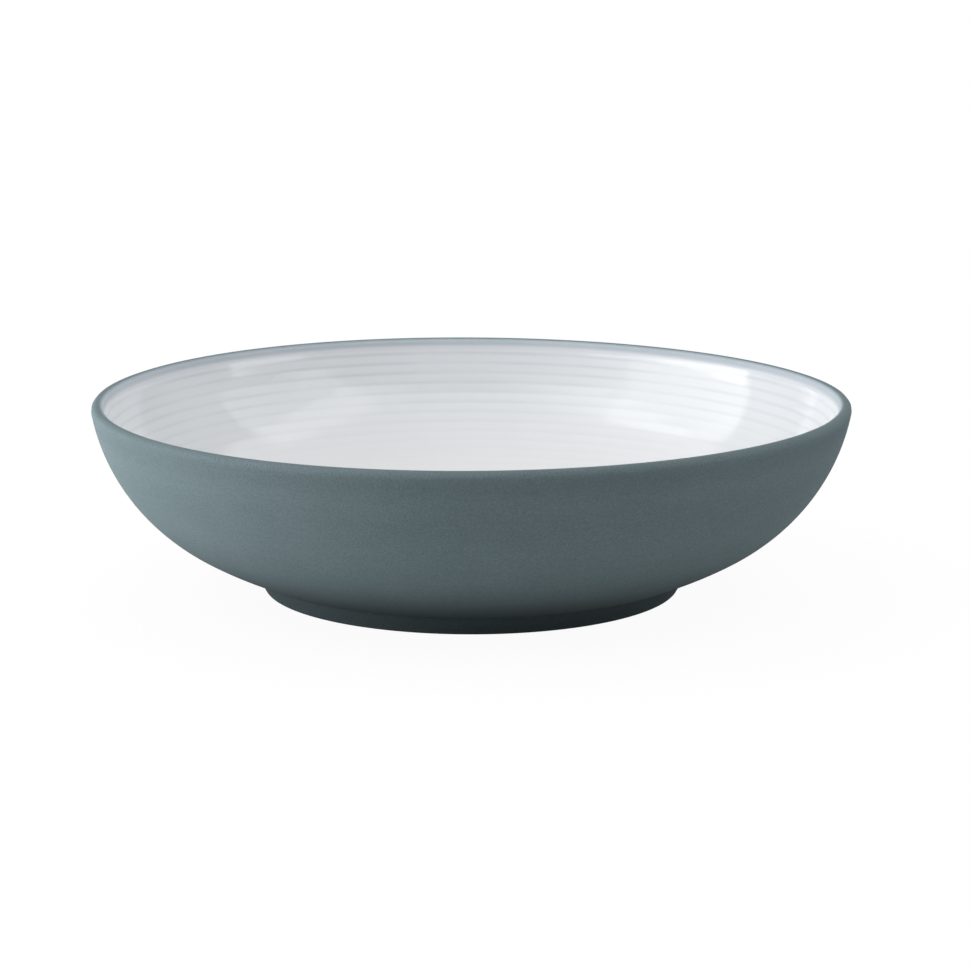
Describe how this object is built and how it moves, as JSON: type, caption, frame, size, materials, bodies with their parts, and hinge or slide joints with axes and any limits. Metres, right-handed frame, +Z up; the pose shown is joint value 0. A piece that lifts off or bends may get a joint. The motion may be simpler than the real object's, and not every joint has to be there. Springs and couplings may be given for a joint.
{
  "type": "bowl",
  "caption": "Low round coupe bowl with a half-round lip, matt slate outside, glossy white liner with throwing rings, on a turned foot ring.",
  "frame": {"origin": "centre of the foot ring's base, on the table", "axes": "+Z up along the wheel's axis, out of the bowl; X and Y level"},
  "size_m": [0.24, 0.24, 0.0614],
  "materials": {
    "clay": "bare fired stoneware, dry and fine",
    "matt_slate": "matt, finely grained slate teal",
    "gloss_white": "glossy white glaze, bluish where thin"
  },
  "bodies": {
    "root": {"stoneware_body": "clay", "foot_ring": "clay", "matt_outer_coat": "matt_slate", "underside_coat": "matt_slate", "gloss_liner": "gloss_white"}
  },
  "joints": []
}
